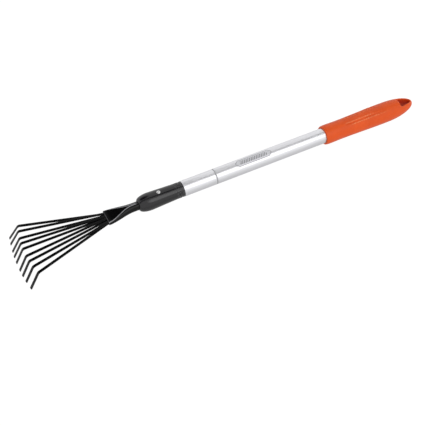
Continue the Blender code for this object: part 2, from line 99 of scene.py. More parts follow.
# Handle tubes
TUBE_RADIUS = 0.0125
TUBE_BORE = 0.0115
INNER_TUBE_RADIUS = 0.010
INNER_TUBE_BORE = 0.0088
TUBE_LIP = 0.00025
SLEEVE_STEP = 0.00005
BUSH_FLANGE = 0.001
BUSH_FLANGE_INSET = 0.0002
BUSH_LEAD = 0.0006

# Ferrule and collar
FERRULE_SHOULDER = -0.109
FERRULE_NOSE_RADIUS = 0.0076
FERRULE_SHOULDER_RADIUS = 0.0139
FERRULE_REAR_RADIUS = 0.0122
FERRULE_CORE_END = -0.076
FERRULE_REAR_FILLET = 0.0005
FERRULE_NOSE_FILLET = 0.0004
FERRULE_STEP = 0.0003
COLLAR_RADIUS = 0.0122
COLLAR_STEP = 0.00018
SPIGOT_FILLET = 0.0005
COLLAR_GROOVE = (0.0024, 0.0048)
COLLAR_GROOVE_SIDE = 0.0004
COLLAR_GROOVE_DEPTH = 0.0005
COLLAR_GROOVE_FILLET = 0.00015
COLLAR_NOTCHES = 20
NOTCH_STATION = 0.0032
NOTCH_SIZE = (0.0036, 0.0017, 0.0008)
NOTCH_SIDE = 0.0003
RIVET_STATION = -0.0935
RIVET_HEAD_RADIUS = 0.003
RIVET_SHANK_RADIUS = 0.0016
RIVET_FOOT_RADIUS = 0.0022
RIVET_FOOT_LENGTH = 0.003
RIVET_FILLET = 0.0004
RIVET_RIM_FILLET = 0.00015
SPOT_FACE_DEPTH = 0.0004
SPOT_FACE_SIDE = 0.0005
SPOT_FACE_REACH = 0.02

# The rivet's dome from its rim to the middle, as height over the seat, radius and fillet
RIVET_DOME = (
    (0.0005, 0.0026, 0.0004),
    (0.0011, 0.0015, 0.0004),
    (0.0010, 0.0010, 0.0002),
    (-0.0002, 0.0008, 0.0002),
    (-0.0002, 0.0, 0.0),
)

# Head socket
NECK_RADIUS = 0.0069
NECK_WALL = 0.001
FLARE_START = -0.136
PLATE_HALF_WIDTH = 0.0138
PLATE_HALF_HEIGHT = 0.0036
PLATE_DROP = 0.0012
SOCKET_RIM = 0.0003
CREASE_REAR = -0.1275
CREASE_WIDTH = 0.0009
CREASE_HEIGHT = 0.0003
CREASE_START = 0.0010
CREASE_INSET = 0.0017
CREASE_CURVE = 1.15
CREASE_FADE = 0.006

# Tines, from the +Y side to the -Y side
TINE_WIDTH = 0.004
TINE_BROADENING = 1.13
TINE_THICKNESS = 0.0012
TINE_FILLET = 0.00035
TINE_TIP_ROUND = 0.0009
TIP_NARROWING = 0.35
TIP_END_SHARE = 0.60
TIP_THICKNESS_LEAD = 0.15
TINE_ROOT = -0.168
TINE_ROOT_PITCH = 0.00215
TINE_LAYER = 0.001
TINE_MOUTHS_Y = (0.0100, 0.0090, 0.0057, 0.0030, 0.0014, -0.0020, -0.0043, -0.0097, -0.0100)
TINE_KNEES_Y = (0.0458, 0.0360, 0.0230, 0.0134, 0.0027, -0.0115, -0.0220, -0.0334, -0.0463)
SPLAY_STATION = -0.181
FAN_APEX = -0.1395
FAN_RADIUS = 0.1665
KNEE_DROP = 0.003
KNEE_ROUNDING = 0.0045
TIP_LENGTH = 0.030
TIP_BEND = math.radians(60.5)
OUTER_TIP_BEND = math.radians(55.5)
TIP_SPLAY = 0.7

# Grip
GRIP_LIP_RADIUS = 0.0160
GRIP_LIP_LENGTH = 0.008
GRIP_LIP_ROUNDING = 0.0014
GRIP_WAIST = 0.228
GRIP_WAIST_RADIUS = 0.0157
GRIP_BELLY = 0.309
GRIP_BELLY_RADIUS = 0.0169
GRIP_BORE_PAST_TUBE = 0.002
GRIP_NOSE_START = 0.320
NOSE_CLOSING = 0.999
NOSE_TOP_POWER = 0.85
NOSE_UNDERSIDE_POWER = 1.15
HANG_HOLE = (0.344, 0.3685)
HANG_HOLE_HALF_WIDTH = 0.0079
HANG_HOLE_REST = 0.0016
HANG_HOLE_CORNER = 0.003
HANG_HOLE_FLARE = 20.0
HANG_HOLE_TAPER = 0.62
HANG_HOLE_FILLET = 0.0022
HANG_CUTTER_REACH = 0.03
# Depth below the grip's outer side where the painted shade inside the hang hole starts, and the depth over
# which it grows to full strength
HOLE_SHADE_START = 0.0008
HOLE_SHADE_DEPTH = 0.0035
MOUTH_FILLET = 0.0012
TIP_FILLET = 0.0008
BORE_FILLET = 0.0006
LEAST_SLOPE = 0.05
RIB_HEIGHT = 0.0009
RIB_WIDTH = 0.0012
RIB_FADES = (0.15, 0.35)
RIBS = ((0.232, 0.300, math.radians(19.3)), (0.240, 0.322, math.radians(36.5)))
GROOVE = (0.234, 0.318, math.radians(25.5))
GROOVE_DEPTH = 0.0006
GROOVE_WIDTH = 0.0030
GRIP_VOXEL = 0.0006

# Badge
BADGE_HALF_WIDTH = 0.0062
BADGE_POINT = 0.006
BADGE_TURN = math.radians(12)
BADGE_THICKNESS = 0.0003
BADGE_POINT_SHARE = 0.2
BADGE_GRID = (256, 48)
PRINT_RISE = 0.00006
BORDER_INSETS = (0.0006, 0.0012)
BAR_PITCH = 0.0030
BAR_WIDTH = 0.0011
BAR_SLANT = 0.5
BAR_REACH = 0.0030
BAR_MARGIN = 0.0085


# ---------------------------------------------------------------- The tool frame and the CAD nodes

def tool_frame():
    """Matrix from the tool frame to the row frame, read from the lock's hinge on the tubes' axis."""
    hinge = next(joint for joint in frame["joints"] if joint["name"] == "twist_lock")
    along = Vector(hinge["axis"]).normalized()
    across = Vector((0.0, 1.0, 0.0))
    matrix = Matrix((along, across, along.cross(across))).transposed().to_4x4()
    matrix.translation = Vector(hinge["pos_m"]) - along * LOCK_STATION
    return matrix


TOOL = tool_frame()


@cache
def ends_of(node):
    """The first and last X of a CAD node, in the tool frame."""
    to_tool = TOOL.inverted()
    stations = [(to_tool @ vertex.co).x for vertex in frame["nodes"][node].data.vertices]
    return min(stations), max(stations)


GRIP_ENDS = ends_of("grip")
GRIP_BORE_RADIUS = TUBE_RADIUS + GAP
GRIP_BORE_END = ends_of("outer_tube")[1] + GRIP_BORE_PAST_TUBE


# ---------------------------------------------------------------- Mesh helpers

def blend(start, end, t):
    return start + (end - start) * t


def ease(t):
    """Runs smoothly from 0 to 1 as t does."""
    t = np.clip(t, 0.0, 1.0)
    return t * t * (3.0 - 2.0 * t)


def spaced(start, end, count):
    return [blend(start, end, i / (count - 1)) for i in range(count)]


def mark_edges(mesh, gentle=250.0, sharp=1200.0):
    """Stores as "edge" how sharply the surface turns outward, 0 at gentle and 1 at sharp, in 1/m."""
    count = len(mesh.vertices)
    points = np.empty(count * 3)
    mesh.vertices.foreach_get("co", points)
    points = points.reshape(-1, 3)
    normals = np.empty(count * 3)
    mesh.vertices.foreach_get("normal", normals)
    normals = normals.reshape(-1, 3)
    pairs = np.empty(len(mesh.edges) * 2, dtype=np.int32)
    mesh.edges.foreach_get("vertices", pairs)
    one, other = pairs.reshape(-1, 2).T
    step = points[other] - points[one]
    length = np.maximum((step * step).sum(axis=1), 1e-12)
    bend = np.zeros(count)
    links = np.zeros(count)
    np.add.at(bend, one, -2.0 * (normals[one] * step).sum(axis=1) / length)
    np.add.at(bend, other, 2.0 * (normals[other] * step).sum(axis=1) / length)
    np.add.at(links, one, 1.0)
    np.add.at(links, other, 1.0)
    curvature = bend / np.maximum(links, 1.0)
    edge = mesh.attributes.new("edge", "FLOAT", "POINT")
    edge.data.foreach_set("value", np.clip((curvature - gentle) / (sharp - gentle), 0.0, 1.0))


def finish_mesh(mesh):
    """Welds, turns the faces outward, shades smooth and marks the edges."""
    shape = bmesh.new()
    shape.from_mesh(mesh)
    bmesh.ops.remove_doubles(shape, verts=shape.verts, dist=1e-7)
    bmesh.ops.recalc_face_normals(shape, faces=shape.faces)
    shape.to_mesh(mesh)
    shape.free()
    mesh.shade_smooth()
    mesh.set_sharp_from_angle(angle=SHARP_ANGLE)
    mark_edges(mesh)


def add_piece(name, mesh, body, slot, material, *nodes):
    """Moves a mesh from the tool frame to the row frame, as a piece that stands for CAD nodes."""
    mesh.transform(TOOL)
    mesh.materials.append(material)
    piece = bpy.data.objects.new(name, mesh)
    bpy.context.scene.collection.objects.link(piece)
    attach(piece, body)
    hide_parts(*nodes)


def skinned(name, rings, loop=False, caps=False):
    """A mesh through rings of points. The rings may run back to the first, or be capped."""
    size = len(rings[0])
    points = [point for ring in rings for point in ring]
    faces = []
    pairs = [(k, k + 1) for k in range(len(rings) - 1)]
    if loop:
        pairs.append((len(rings) - 1, 0))
    for one, other in pairs:
        for i in range(size):
            after = (i + 1) % size
            faces.append((one * size + i, one * size + after, other * size + after, other * size + i))
    if caps:
        faces.append(tuple(range(size)))
        last = (len(rings) - 1) * size
        faces.append(tuple(range(last, last + size)))
    mesh = bpy.data.meshes.new(name)
    mesh.from_pydata(points, [], faces)
    finish_mesh(mesh)
    return mesh


def rounded(corners, steps=4):
    """An outline from (x, radius, fillet) corners, each fillet drawn as a short curve."""
    outline = []
    for i, (x, radius, fillet) in enumerate(corners):
        corner = Vector((x, radius))
        if fillet == 0.0:
            outline.append((x, radius))
            continue
        before = Vector(corners[i - 1][:2]) - corner
        after = Vector(corners[(i + 1) % len(corners)][:2]) - corner
        start = corner + before.normalized() * fillet
        end = corner + after.normalized() * fillet
        for k in range(steps + 1):
            t = k / steps
            point = start * (1 - t) ** 2 + corner * (2 * t * (1 - t)) + end * t**2
            outline.append((point.x, point.y))
    return outline


def divided(outline, step, first, last):
    """The outline with its outer stretch between two stations cut into pieces no longer than step."""
    result = []
    for i, point in enumerate(outline):
        result.append(point)
        after = outline[(i + 1) % len(outline)]
        inside = first <= min(point[0], after[0]) and max(point[0], after[0]) <= last
        pieces = math.ceil(math.dist(point, after) / step)
        if inside:
            result += [
                (blend(point[0], after[0], k / pieces), blend(point[1], after[1], k / pieces))
                for k in range(1, pieces)
            ]
    return result


def turned(name, outline, sides=ROUND_SIDES, carve=None):
    """A closed (x, radius) outline turned about X. carve(x, angle, radius) may change the radius."""
    rings = []
    for x, radius in outline:
        ring = []
        for i in range(sides):
            angle = math.tau * i / sides
            size = carve(x, angle, radius) if carve else radius
            ring.append((x, size * math.sin(angle), size * math.cos(angle)))
        rings.append(ring)
    return skinned(name, rings, loop=True)


# ---------------------------------------------------------------- Material helpers

def new_material(name):
    material = bpy.data.materials.new(name)
    material.use_nodes = True
    tree = material.node_tree
    return material, tree, tree.nodes["Principled BSDF"]


def join(tree, value, socket):
    """Links a socket, or sets a plain value."""
    if isinstance(value, bpy.types.NodeSocket):
        tree.links.new(value, socket)
    else:
        socket.default_value = value


def add(tree, kind, output=0, settings=None, **inputs):
    """Adds a node, sets its inputs by name, and returns one of its outputs."""
    item = tree.nodes.new(kind)
    for key, value in (settings or {}).items():
        setattr(item, key, value)
    for key, value in inputs.items():
        join(tree, value, item.inputs[key.replace("_", " ")])
    return item.outputs[output]


def maths(tree, operation, *values):
    item = tree.nodes.new("ShaderNodeMath")
    item.operation = operation
    for value, socket in zip(values, item.inputs):
        join(tree, value, socket)
    return item.outputs[0]


def placed(tree, stretch=(1.0, 1.0, 1.0)):
    """Object coordinates turned into the tool frame, then stretched."""
    place = add(tree, "ShaderNodeTexCoord", "Object")
    level = add(tree, "ShaderNodeMapping", Vector=place, Rotation=TOOL.inverted().to_euler())
    return add(tree, "ShaderNodeMapping", Vector=level, Scale=stretch)


def noise(tree, scale, detail=3.0, roughness=0.55, stretch=(1.0, 1.0, 1.0)):
    vector = placed(tree, stretch)
    return add(tree, "ShaderNodeTexNoise", Vector=vector, Scale=scale, Detail=detail, Roughness=roughness)


def ranged(tree, value, from_low, from_high, to_low, to_high):
    """Maps a value from one range to another, and keeps it there."""
    item = tree.nodes.new("ShaderNodeMapRange")
    for socket, amount in zip(item.inputs, (value, from_low, from_high, to_low, to_high)):
        join(tree, amount, socket)
    return item.outputs[0]


def mixed(tree, share, one, other):
    """A colour between two others."""
    item = tree.nodes.new("ShaderNodeMix")
    item.data_type = "RGBA"
    join(tree, share, item.inputs["Factor"])
    colours = [socket for socket in item.inputs if socket.type == "RGBA"]
    join(tree, one, colours[0])
    join(tree, other, colours[1])
    return next(socket for socket in item.outputs if socket.type == "RGBA")


def edge_of(tree):
    return add(tree, "ShaderNodeAttribute", "Fac", {"attribute_name": "edge"})


def dot_product(tree, vector, along):
    item = tree.nodes.new("ShaderNodeVectorMath")
    item.operation = "DOT_PRODUCT"
    tree.links.new(vector, item.inputs[0])
    item.inputs[1].default_value = along
    return item.outputs["Value"]


def bump(tree, height, distance):
    return add(tree, "ShaderNodeBump", Height=height, Distance=distance, Strength=1.0)


def rgb(red, green, blue):
    return (red, green, blue, 1.0)


# ---------------------------------------------------------------- Materials

ENAMEL_COLOURS = (rgb(0.0010, 0.0010, 0.0011), rgb(0.0024, 0.0024, 0.0026))
ENAMEL_LEVEL = 0.2


def enamel():
    """Gloss black enamel on steel: orange peel, dull patches, and bare steel on the worn edges."""
    material, tree, shader = new_material("black_enamel")
    patches = noise(tree, 60.0, 4.0)
    colour = mixed(tree, patches, *ENAMEL_COLOURS)
    chips = ranged(tree, noise(tree, 420.0, 5.0, 0.7), 0.50, 0.72, 0.0, 1.0)
    worn = maths(tree, "MULTIPLY", maths(tree, "MULTIPLY", edge_of(tree), chips), 0.22)
    join(tree, mixed(tree, worn, colour, rgb(0.20, 0.20, 0.21)), shader.inputs["Base Color"])
    gloss = ranged(tree, noise(tree, 140.0, 5.0), 0.3, 0.7, 0.13, 0.22)
    join(tree, maths(tree, "ADD", gloss, maths(tree, "MULTIPLY", worn, 0.4)), shader.inputs["Roughness"])
    shader.inputs["Specular IOR Level"].default_value = ENAMEL_LEVEL
    join(tree, bump(tree, noise(tree, 1100.0, 2.0), 0.00002), shader.inputs["Normal"])
    return material


def socket_enamel():
    """The same enamel on the head socket, painted light grey along the pressed creases as a painted
    highlight, with its rubbed edges in the same grey.
    """
    material, tree, shader = new_material("socket_enamel")
    patches = noise(tree, 70.0, 4.0)
    colour = mixed(tree, patches, *ENAMEL_COLOURS)
    # Painted highlight: the crease field draws a light grey line along each crease, and the edge field
    # adds the real wear on the rims
    crease = add(tree, "ShaderNodeAttribute", "Fac", {"attribute_name": "crease"})
    rubbed = maths(tree, "MAXIMUM", crease, maths(tree, "MULTIPLY", edge_of(tree), 0.5))
    broken = ranged(tree, noise(tree, 260.0, 4.0, 0.6), 0.25, 0.55, 0.45, 1.0)
    worn = maths(tree, "MULTIPLY", rubbed, broken)
    join(tree, mixed(tree, worn, colour, rgb(0.42, 0.42, 0.44)), shader.inputs["Base Color"])
    gloss = ranged(tree, noise(tree, 150.0, 5.0), 0.3, 0.7, 0.14, 0.24)
    join(tree, maths(tree, "ADD", gloss, maths(tree, "MULTIPLY", worn, 0.25)), shader.inputs["Roughness"])
    shader.inputs["Specular IOR Level"].default_value = ENAMEL_LEVEL
    join(tree, bump(tree, noise(tree, 1000.0, 2.0), 0.00002), shader.inputs["Normal"])
    return material


def moulded(
    name, low, high, worn_colour, roughness, grain=2600.0, grain_depth=0.00003, wear=0.5, level=0.35
):
    """A moulded plastic: fine spark grain, uneven gloss, soft colour variation and rubbed edges."""
    material, tree, shader = new_material(name)
    cloud = ranged(tree, noise(tree, 35.0, 5.0), 0.3, 0.7, 0.0, 1.0)
    colour = mixed(tree, cloud, low, high)
    scuffs = ranged(tree, noise(tree, 500.0, 5.0, 0.65), 0.40, 0.68, 0.0, 1.0)
    worn = maths(tree, "MULTIPLY", maths(tree, "MULTIPLY", edge_of(tree), scuffs), wear)
    join(tree, mixed(tree, worn, colour, worn_colour), shader.inputs["Base Color"])
    gloss = ranged(tree, noise(tree, 180.0, 6.0, 0.6), 0.3, 0.7, roughness - 0.06, roughness + 0.07)
    join(tree, gloss, shader.inputs["Roughness"])
    shader.inputs["Specular IOR Level"].default_value = level
    join(tree, bump(tree, noise(tree, grain, 2.0, 0.6), grain_depth), shader.inputs["Normal"])
    return material


def grip_rubber():
    """Orange moulded grip, darkened inside its hang hole as painted shade, with rubbed edges, and ribs
    painted in the lighter rubbed colour as painted highlights.
    """
    low, high = rgb(0.69, 0.078, 0.007), rgb(0.79, 0.096, 0.010)
    # This lighter colour paints the rubbed edges, and through the ribs' share in the edge field it also
    # paints painted highlights along the ribs
    worn = rgb(0.96, 0.44, 0.20)
    material = moulded(
        "grip_orange", low, high, worn, 0.42, grain=2200.0, grain_depth=0.00004, wear=0.95, level=0.25
    )
    tree = material.node_tree
    base = tree.nodes["Principled BSDF"].inputs["Base Color"]
    # Painted shade: points deep inside the hang hole are mixed toward a dark red, broken up a little by
    # noise
    hollow = add(tree, "ShaderNodeAttribute", "Fac", {"attribute_name": "hollow"})
    shade_breakup = ranged(tree, noise(tree, 90.0, 4.0), 0.2, 0.6, 0.75, 1.0)
    shade = maths(tree, "MULTIPLY", hollow, shade_breakup)
    join(tree, mixed(tree, shade, base.links[0].from_socket, rgb(0.50, 0.032, 0.004)), base)
    return material


def drawn_aluminium(name, ringed=True):
    """Anodised drawn tube: fine lines along its length, faint rings round it, soft stains."""
    material, tree, shader = new_material(name)
    shader.inputs["Metallic"].default_value = 1.0
    draw = noise(tree, 1.0, 4.0, 0.6, (9.0, 2400.0, 2400.0))
    cloud = noise(tree, 26.0, 4.0)
    shade = maths(tree, "ADD", maths(tree, "MULTIPLY", draw, 0.6), maths(tree, "MULTIPLY", cloud, 0.4))
    tone = ranged(tree, shade, 0.32, 0.68, 0.0, 1.0)
    colour = mixed(tree, tone, rgb(0.75, 0.75, 0.775), rgb(0.82, 0.82, 0.845))
    join(tree, colour, shader.inputs["Base Color"])
    join(tree, ranged(tree, shade, 0.3, 0.7, 0.32, 0.42), shader.inputs["Roughness"])
    height = draw
    if ringed:
        rings = noise(tree, 1.0, 2.0, 0.6, (900.0, 3.0, 3.0))
        height = maths(tree, "ADD", draw, maths(tree, "MULTIPLY", rings, 0.5))
    join(tree, bump(tree, height, 0.000012), shader.inputs["Normal"])
    return material


def plated_steel(name):
    """Zinc-plated steel: crystalline mottling, dull spots and bright edges."""
    material, tree, shader = new_material(name)
    shader.inputs["Metallic"].default_value = 1.0
    cells = add(tree, "ShaderNodeTexVoronoi", "Distance", Vector=placed(tree), Scale=900.0)
    cloud = noise(tree, 240.0, 5.0)
    tone = maths(tree, "MULTIPLY", maths(tree, "ADD", cells, cloud), 0.6)
    colour = mixed(tree, tone, rgb(0.62, 0.62, 0.63), rgb(0.80, 0.80, 0.79))
    worn = maths(tree, "MULTIPLY", edge_of(tree), cloud)
    join(tree, mixed(tree, worn, colour, rgb(0.90, 0.90, 0.91)), shader.inputs["Base Color"])
    join(tree, ranged(tree, cloud, 0.3, 0.7, 0.24, 0.42), shader.inputs["Roughness"])
    join(tree, bump(tree, cells, 0.00001), shader.inputs["Normal"])
    return material


def badge_film():
    """Silver film with a printed border and bars, from the field stored on the badge's points."""
    material, tree, shader = new_material("badge_film")
    printed = add(tree, "ShaderNodeAttribute", "Fac", {"attribute_name": "printed"})
    cloud = noise(tree, 300.0, 4.0)
    film = mixed(tree, cloud, rgb(0.60, 0.60, 0.63), rgb(0.72, 0.72, 0.75))
    ink = mixed(tree, cloud, rgb(0.10, 0.10, 0.11), rgb(0.16, 0.16, 0.17))
    faded = maths(tree, "MULTIPLY", printed, ranged(tree, noise(tree, 900.0), 0.2, 0.5, 0.75, 1.0))
    join(tree, mixed(tree, faded, film, ink), shader.inputs["Base Color"])
    join(tree, ranged(tree, cloud, 0.3, 0.7, 0.34, 0.46), shader.inputs["Roughness"])
    shader.inputs["Metallic"].default_value = 0.35
    join(tree, bump(tree, noise(tree, 1800.0), 0.00001), shader.inputs["Normal"])
    return material


# ---------------------------------------------------------------- Handle tubes

def make_tube(name, node, body, slot, outer, bore, material):
    start, end = ends_of(node)
    corners = [(start, outer), (end, outer), (end, bore), (start, bore)]
    corners = [(x, radius, TUBE_LIP) for x, radius in corners]
    add_piece(name, turned(name, rounded(corners), TUBE_SIDES), body, slot, material, node)


def make_tubes():
    outer = drawn_aluminium("outer_aluminium")
    inner = drawn_aluminium("inner_aluminium", ringed=False)
    make_tube("outer_tube_drawn", "outer_tube", "handle", "outer_aluminium", TUBE_RADIUS, TUBE_BORE, outer)
    radii = (TUBE_RADIUS - SLEEVE_STEP, TUBE_BORE)
    make_tube("lower_sleeve_drawn", "lower_sleeve", "head", "outer_aluminium", *radii, outer)
    radii = (INNER_TUBE_RADIUS, INNER_TUBE_BORE)
    make_tube("inner_tube_drawn", "inner_tube", "head", "inner_aluminium", *radii, inner)


def make_bush():
    """Bearing in the outer tube's mouth, with a flange that shows as the line between the tubes."""
    start, end = ends_of("tube_bush")
    body, flange = TUBE_BORE - GAP, TUBE_RADIUS - BUSH_FLANGE_INSET
    flange_end = start + BUSH_FLANGE
    bore = INNER_TUBE_RADIUS + GAP
    corners = [(start, flange, BUSH_FLANGE_INSET), (flange_end, flange, BUSH_FLANGE_INSET)]
    corners += [(flange_end, body, 0.0), (end, body, BUSH_LEAD)]
    corners += [(end, bore, SMALL_FILLET), (start, bore, SMALL_FILLET)]
    low, high, worn = rgb(0.40, 0.40, 0.41), rgb(0.48, 0.48, 0.49), rgb(0.6, 0.6, 0.6)
    material = moulded("bush_plastic", low, high, worn, 0.5)
    mesh = turned("mouth_bush", rounded(corners))
    add_piece("mouth_bush", mesh, "handle", "bush_plastic", material, "tube_bush")


# ---------------------------------------------------------------- Ferrule, rivet and collar

def ferrule_radius(x, nose):
    """Radius of the ferrule's outer side: a rounded nose, then a straight taper to the rear."""
    if x < FERRULE_SHOULDER:
        t = (FERRULE_SHOULDER - x) / (FERRULE_SHOULDER - nose)
        return blend(FERRULE_NOSE_RADIUS, FERRULE_SHOULDER_RADIUS, math.sqrt(max(0.0, 1.0 - t * t)))
    rear = ends_of("ferrule")[1]
    t = (x - FERRULE_SHOULDER) / (rear - FERRULE_SHOULDER)
    return blend(FERRULE_SHOULDER_RADIUS, FERRULE_REAR_RADIUS, t)


def make_ferrule(material):
    """The ferrule, with a bore for the neck, a ring slot for the inner tube and a flat for the rivet."""
    nose, rear = ends_of("ferrule")
    steps = 26
    outline = []
    for i in range(steps + 1):
        x = blend(nose, FERRULE_SHOULDER, 1.0 - math.cos(math.pi / 2 * i / steps))
        outline.append((x, ferrule_radius(x, nose)))
    shoulder_end = FERRULE_SHOULDER + 0.002
    outline += [(shoulder_end, ferrule_radius(shoulder_end, nose))]
    neck_bore = NECK_RADIUS + GAP
    core = INNER_TUBE_BORE - GAP
    socket = INNER_TUBE_RADIUS + GAP
    socket_end = ends_of("inner_tube")[0] - GAP
    corners = [(rear, FERRULE_REAR_RADIUS, FERRULE_REAR_FILLET), (rear, socket, SMALL_FILLET)]
    corners += [(socket_end, socket, 0.0)]
    corners += [(socket_end, core, 0.0), (FERRULE_CORE_END, core, 0.0), (FERRULE_CORE_END, neck_bore, 0.0)]
    corners += [(nose, neck_bore, FERRULE_NOSE_FILLET), (nose, FERRULE_NOSE_RADIUS, 0.0)]
    outline += rounded(corners)[:-1]
    outline = divided(outline, FERRULE_STEP, RIVET_STATION - SPOT_FACE_REACH, rear)
    spot_face = ferrule_radius(RIVET_STATION, nose) - SPOT_FACE_DEPTH
    spot_radius = RIVET_HEAD_RADIUS + GAP

    def carve(x, angle, radius):
        """Lowers the top to the flat spot face round the rivet."""
        height = radius * math.cos(angle)
        off_centre = math.hypot(x - RIVET_STATION, radius * math.sin(angle))
        if height < spot_face or off_centre > spot_radius + SPOT_FACE_SIDE:
            return radius
        share = float(ease((spot_radius + SPOT_FACE_SIDE - off_centre) / SPOT_FACE_SIDE))
        return blend(radius, spot_face / math.cos(angle), share)

    mesh = turned("ferrule_moulding", outline, FERRULE_SIDES, carve)
    add_piece("ferrule_moulding", mesh, "head", "ferrule_plastic", material, "ferrule")


def make_rivet(material):
    """Blind rivet: a low dome with the open end of its hollow shank in the middle."""
    seat = ferrule_radius(RIVET_STATION, ends_of("ferrule")[0]) - SPOT_FACE_DEPTH + GAP
    shank = RIVET_SHANK_RADIUS
    neck_bore = NECK_RADIUS - NECK_WALL
    foot_end = neck_bore - RIVET_FOOT_LENGTH
    corners = [(foot_end, 0.0, 0.0), (foot_end, shank, RIVET_FILLET)]
    corners += [(neck_bore - 3 * GAP, RIVET_FOOT_RADIUS, RIVET_FILLET), (neck_bore - 2 * GAP, shank, 0.0)]
    corners += [(seat, shank, 0.0), (seat, RIVET_HEAD_RADIUS, RIVET_RIM_FILLET)]
    corners += [(seat + rise, radius, fillet) for rise, radius, fillet in RIVET_DOME]
    mesh = turned("rivet_domed", rounded(corners), RIVET_SIDES)
    mesh.transform(Matrix.Translation((RIVET_STATION, 0.0, 0.0)) @ Matrix.Rotation(-math.pi / 2, 4, "Y"))
    mesh.update()
    add_piece("rivet_domed", mesh, "head", "rivet_steel", material, "ferrule_rivet")


def make_collar(material):
    """The collar, with its ring of moulded notches and the groove behind them."""
    front, spigot_end = ends_of("collar")
    rear = ends_of("lower_sleeve")[0] - GAP
    spigot = TUBE_BORE - GAP
    bore = INNER_TUBE_RADIUS + GAP
    groove_floor = COLLAR_RADIUS - COLLAR_GROOVE_DEPTH
    groove_rear, groove_front = rear - COLLAR_GROOVE[0], rear - COLLAR_GROOVE[1]
    fillet = COLLAR_GROOVE_FILLET
    corners = [(front, bore, SMALL_FILLET), (front, COLLAR_RADIUS, SMALL_FILLET)]
    corners += [(groove_front, COLLAR_RADIUS, fillet)]
    corners += [(groove_front + COLLAR_GROOVE_SIDE, groove_floor, fillet)]
    corners += [(groove_rear - COLLAR_GROOVE_SIDE, groove_floor, fillet)]
    corners += [(groove_rear, COLLAR_RADIUS, fillet)]
    corners += [(rear, COLLAR_RADIUS, SMALL_FILLET), (rear, spigot, 0.0)]
    corners += [(spigot_end, spigot, SPIGOT_FILLET)]
    corners += [(spigot_end, bore, SMALL_FILLET)]
    notch_middle = front + NOTCH_STATION
    notch_length, notch_width, notch_depth = NOTCH_SIZE
    outline = divided(rounded(corners), COLLAR_STEP, front + 0.0002, groove_front + 0.0001)

    def carve(x, angle, radius):
        """Sinks the notches into the outer side."""
        if radius < COLLAR_RADIUS - 0.0001:
            return radius
        turn = (angle * COLLAR_NOTCHES / math.tau + 0.5) % 1.0 - 0.5
        across = abs(turn) * math.tau * radius / COLLAR_NOTCHES
        inside = ease((notch_length / 2 - abs(x - notch_middle)) / NOTCH_SIDE)
        inside *= ease((notch_width / 2 - across) / NOTCH_SIDE)
        return radius - notch_depth * float(inside)

    mesh = turned("collar_moulding", outline, COLLAR_SIDES, carve)
    add_piece("collar_moulding", mesh, "head", "collar_plastic", material, "collar")


# ---------------------------------------------------------------- Head socket and tines

def socket_shape(x, front):
    """(t, half width, half height) of the socket's section at x. t is 0 in the neck, 1 in front."""
    t = float(ease((FLARE_START - x) / (FLARE_START - front)))
    return t, blend(NECK_RADIUS, PLATE_HALF_WIDTH, t), blend(NECK_RADIUS, PLATE_HALF_HEIGHT, t)


def crease_line(t):
    """How far from the middle the pressed crease runs: from the neck's top out to the corner."""
    return blend(CREASE_START, PLATE_HALF_WIDTH - CREASE_INSET, t**CREASE_CURVE)


def crease_share(x, y, z, front):
    """How much a point of the socket's upper side lies on the crease, from 0 to 1."""
    t, _, half_height = socket_shape(x, front)
    if z + t * PLATE_DROP < 0.25 * half_height:
        return 0.0
    ends = ease((CREASE_REAR - x) / CREASE_FADE)
    return float(ease(1.0 - abs(abs(y) - crease_line(t)) / CREASE_WIDTH) * ends)


def socket_ring(x, wall, front, sides=160):
    """Section of the socket: a stadium, walked at an even step, with a low ridge on each crease."""
    t, half_width, half_height = socket_shape(x, front)
    half_width -= wall
    half_height -= wall
    flat = half_width - half_height
    length = 4.0 * flat + math.tau * half_height
    ring = []
    for i in range(sides):
        way = (i / sides * length + flat) % length
        if way < 2.0 * flat:
            y, z = way - flat, half_height
        elif way < 2.0 * flat + math.pi * half_height:
            turn = (way - 2.0 * flat) / half_height
            y, z = flat + half_height * math.sin(turn), half_height * math.cos(turn)
        elif way < 4.0 * flat + math.pi * half_height:
            y, z = 3.0 * flat + math.pi * half_height - way, -half_height
        else:
            turn = (way - 4.0 * flat - math.pi * half_height) / half_height
            y, z = -flat - half_height * math.sin(turn), -half_height * math.cos(turn)
        z -= t * PLATE_DROP
        ridge = CREASE_HEIGHT * crease_share(x, y, z, front) if wall < NECK_WALL / 2 else 0.0
        ring.append((x, y, z + ridge))
    return ring


def make_socket():
    """Steel tube, round in the ferrule and pressed flat and wide where the tines go in."""
    front, rear = ends_of("head_socket")
    rim = SOCKET_RIM
    stations = [rear - rim, CREASE_REAR + 0.001] + spaced(CREASE_REAR, front + rim, 90)
    rings = [socket_ring(rear, rim, front)] + [socket_ring(x, 0.0, front) for x in stations]
    rings += [socket_ring(front, rim, front), socket_ring(front, NECK_WALL - rim, front)]
    rings += [socket_ring(x, NECK_WALL, front) for x in reversed(stations)]
    rings += [socket_ring(rear, NECK_WALL - rim, front)]
    mesh = skinned("socket_pressed", rings, loop=True)
    # The crease share is also stored for the material, which paints it as a light grey painted highlight
    shares = [crease_share(*vertex.co, front) for vertex in mesh.vertices]
    crease = mesh.attributes.new("crease", "FLOAT", "POINT")
    crease.data.foreach_set("value", shares)
    add_piece("socket_pressed", mesh, "head", "head_socket_steel", socket_enamel(), "head_socket")


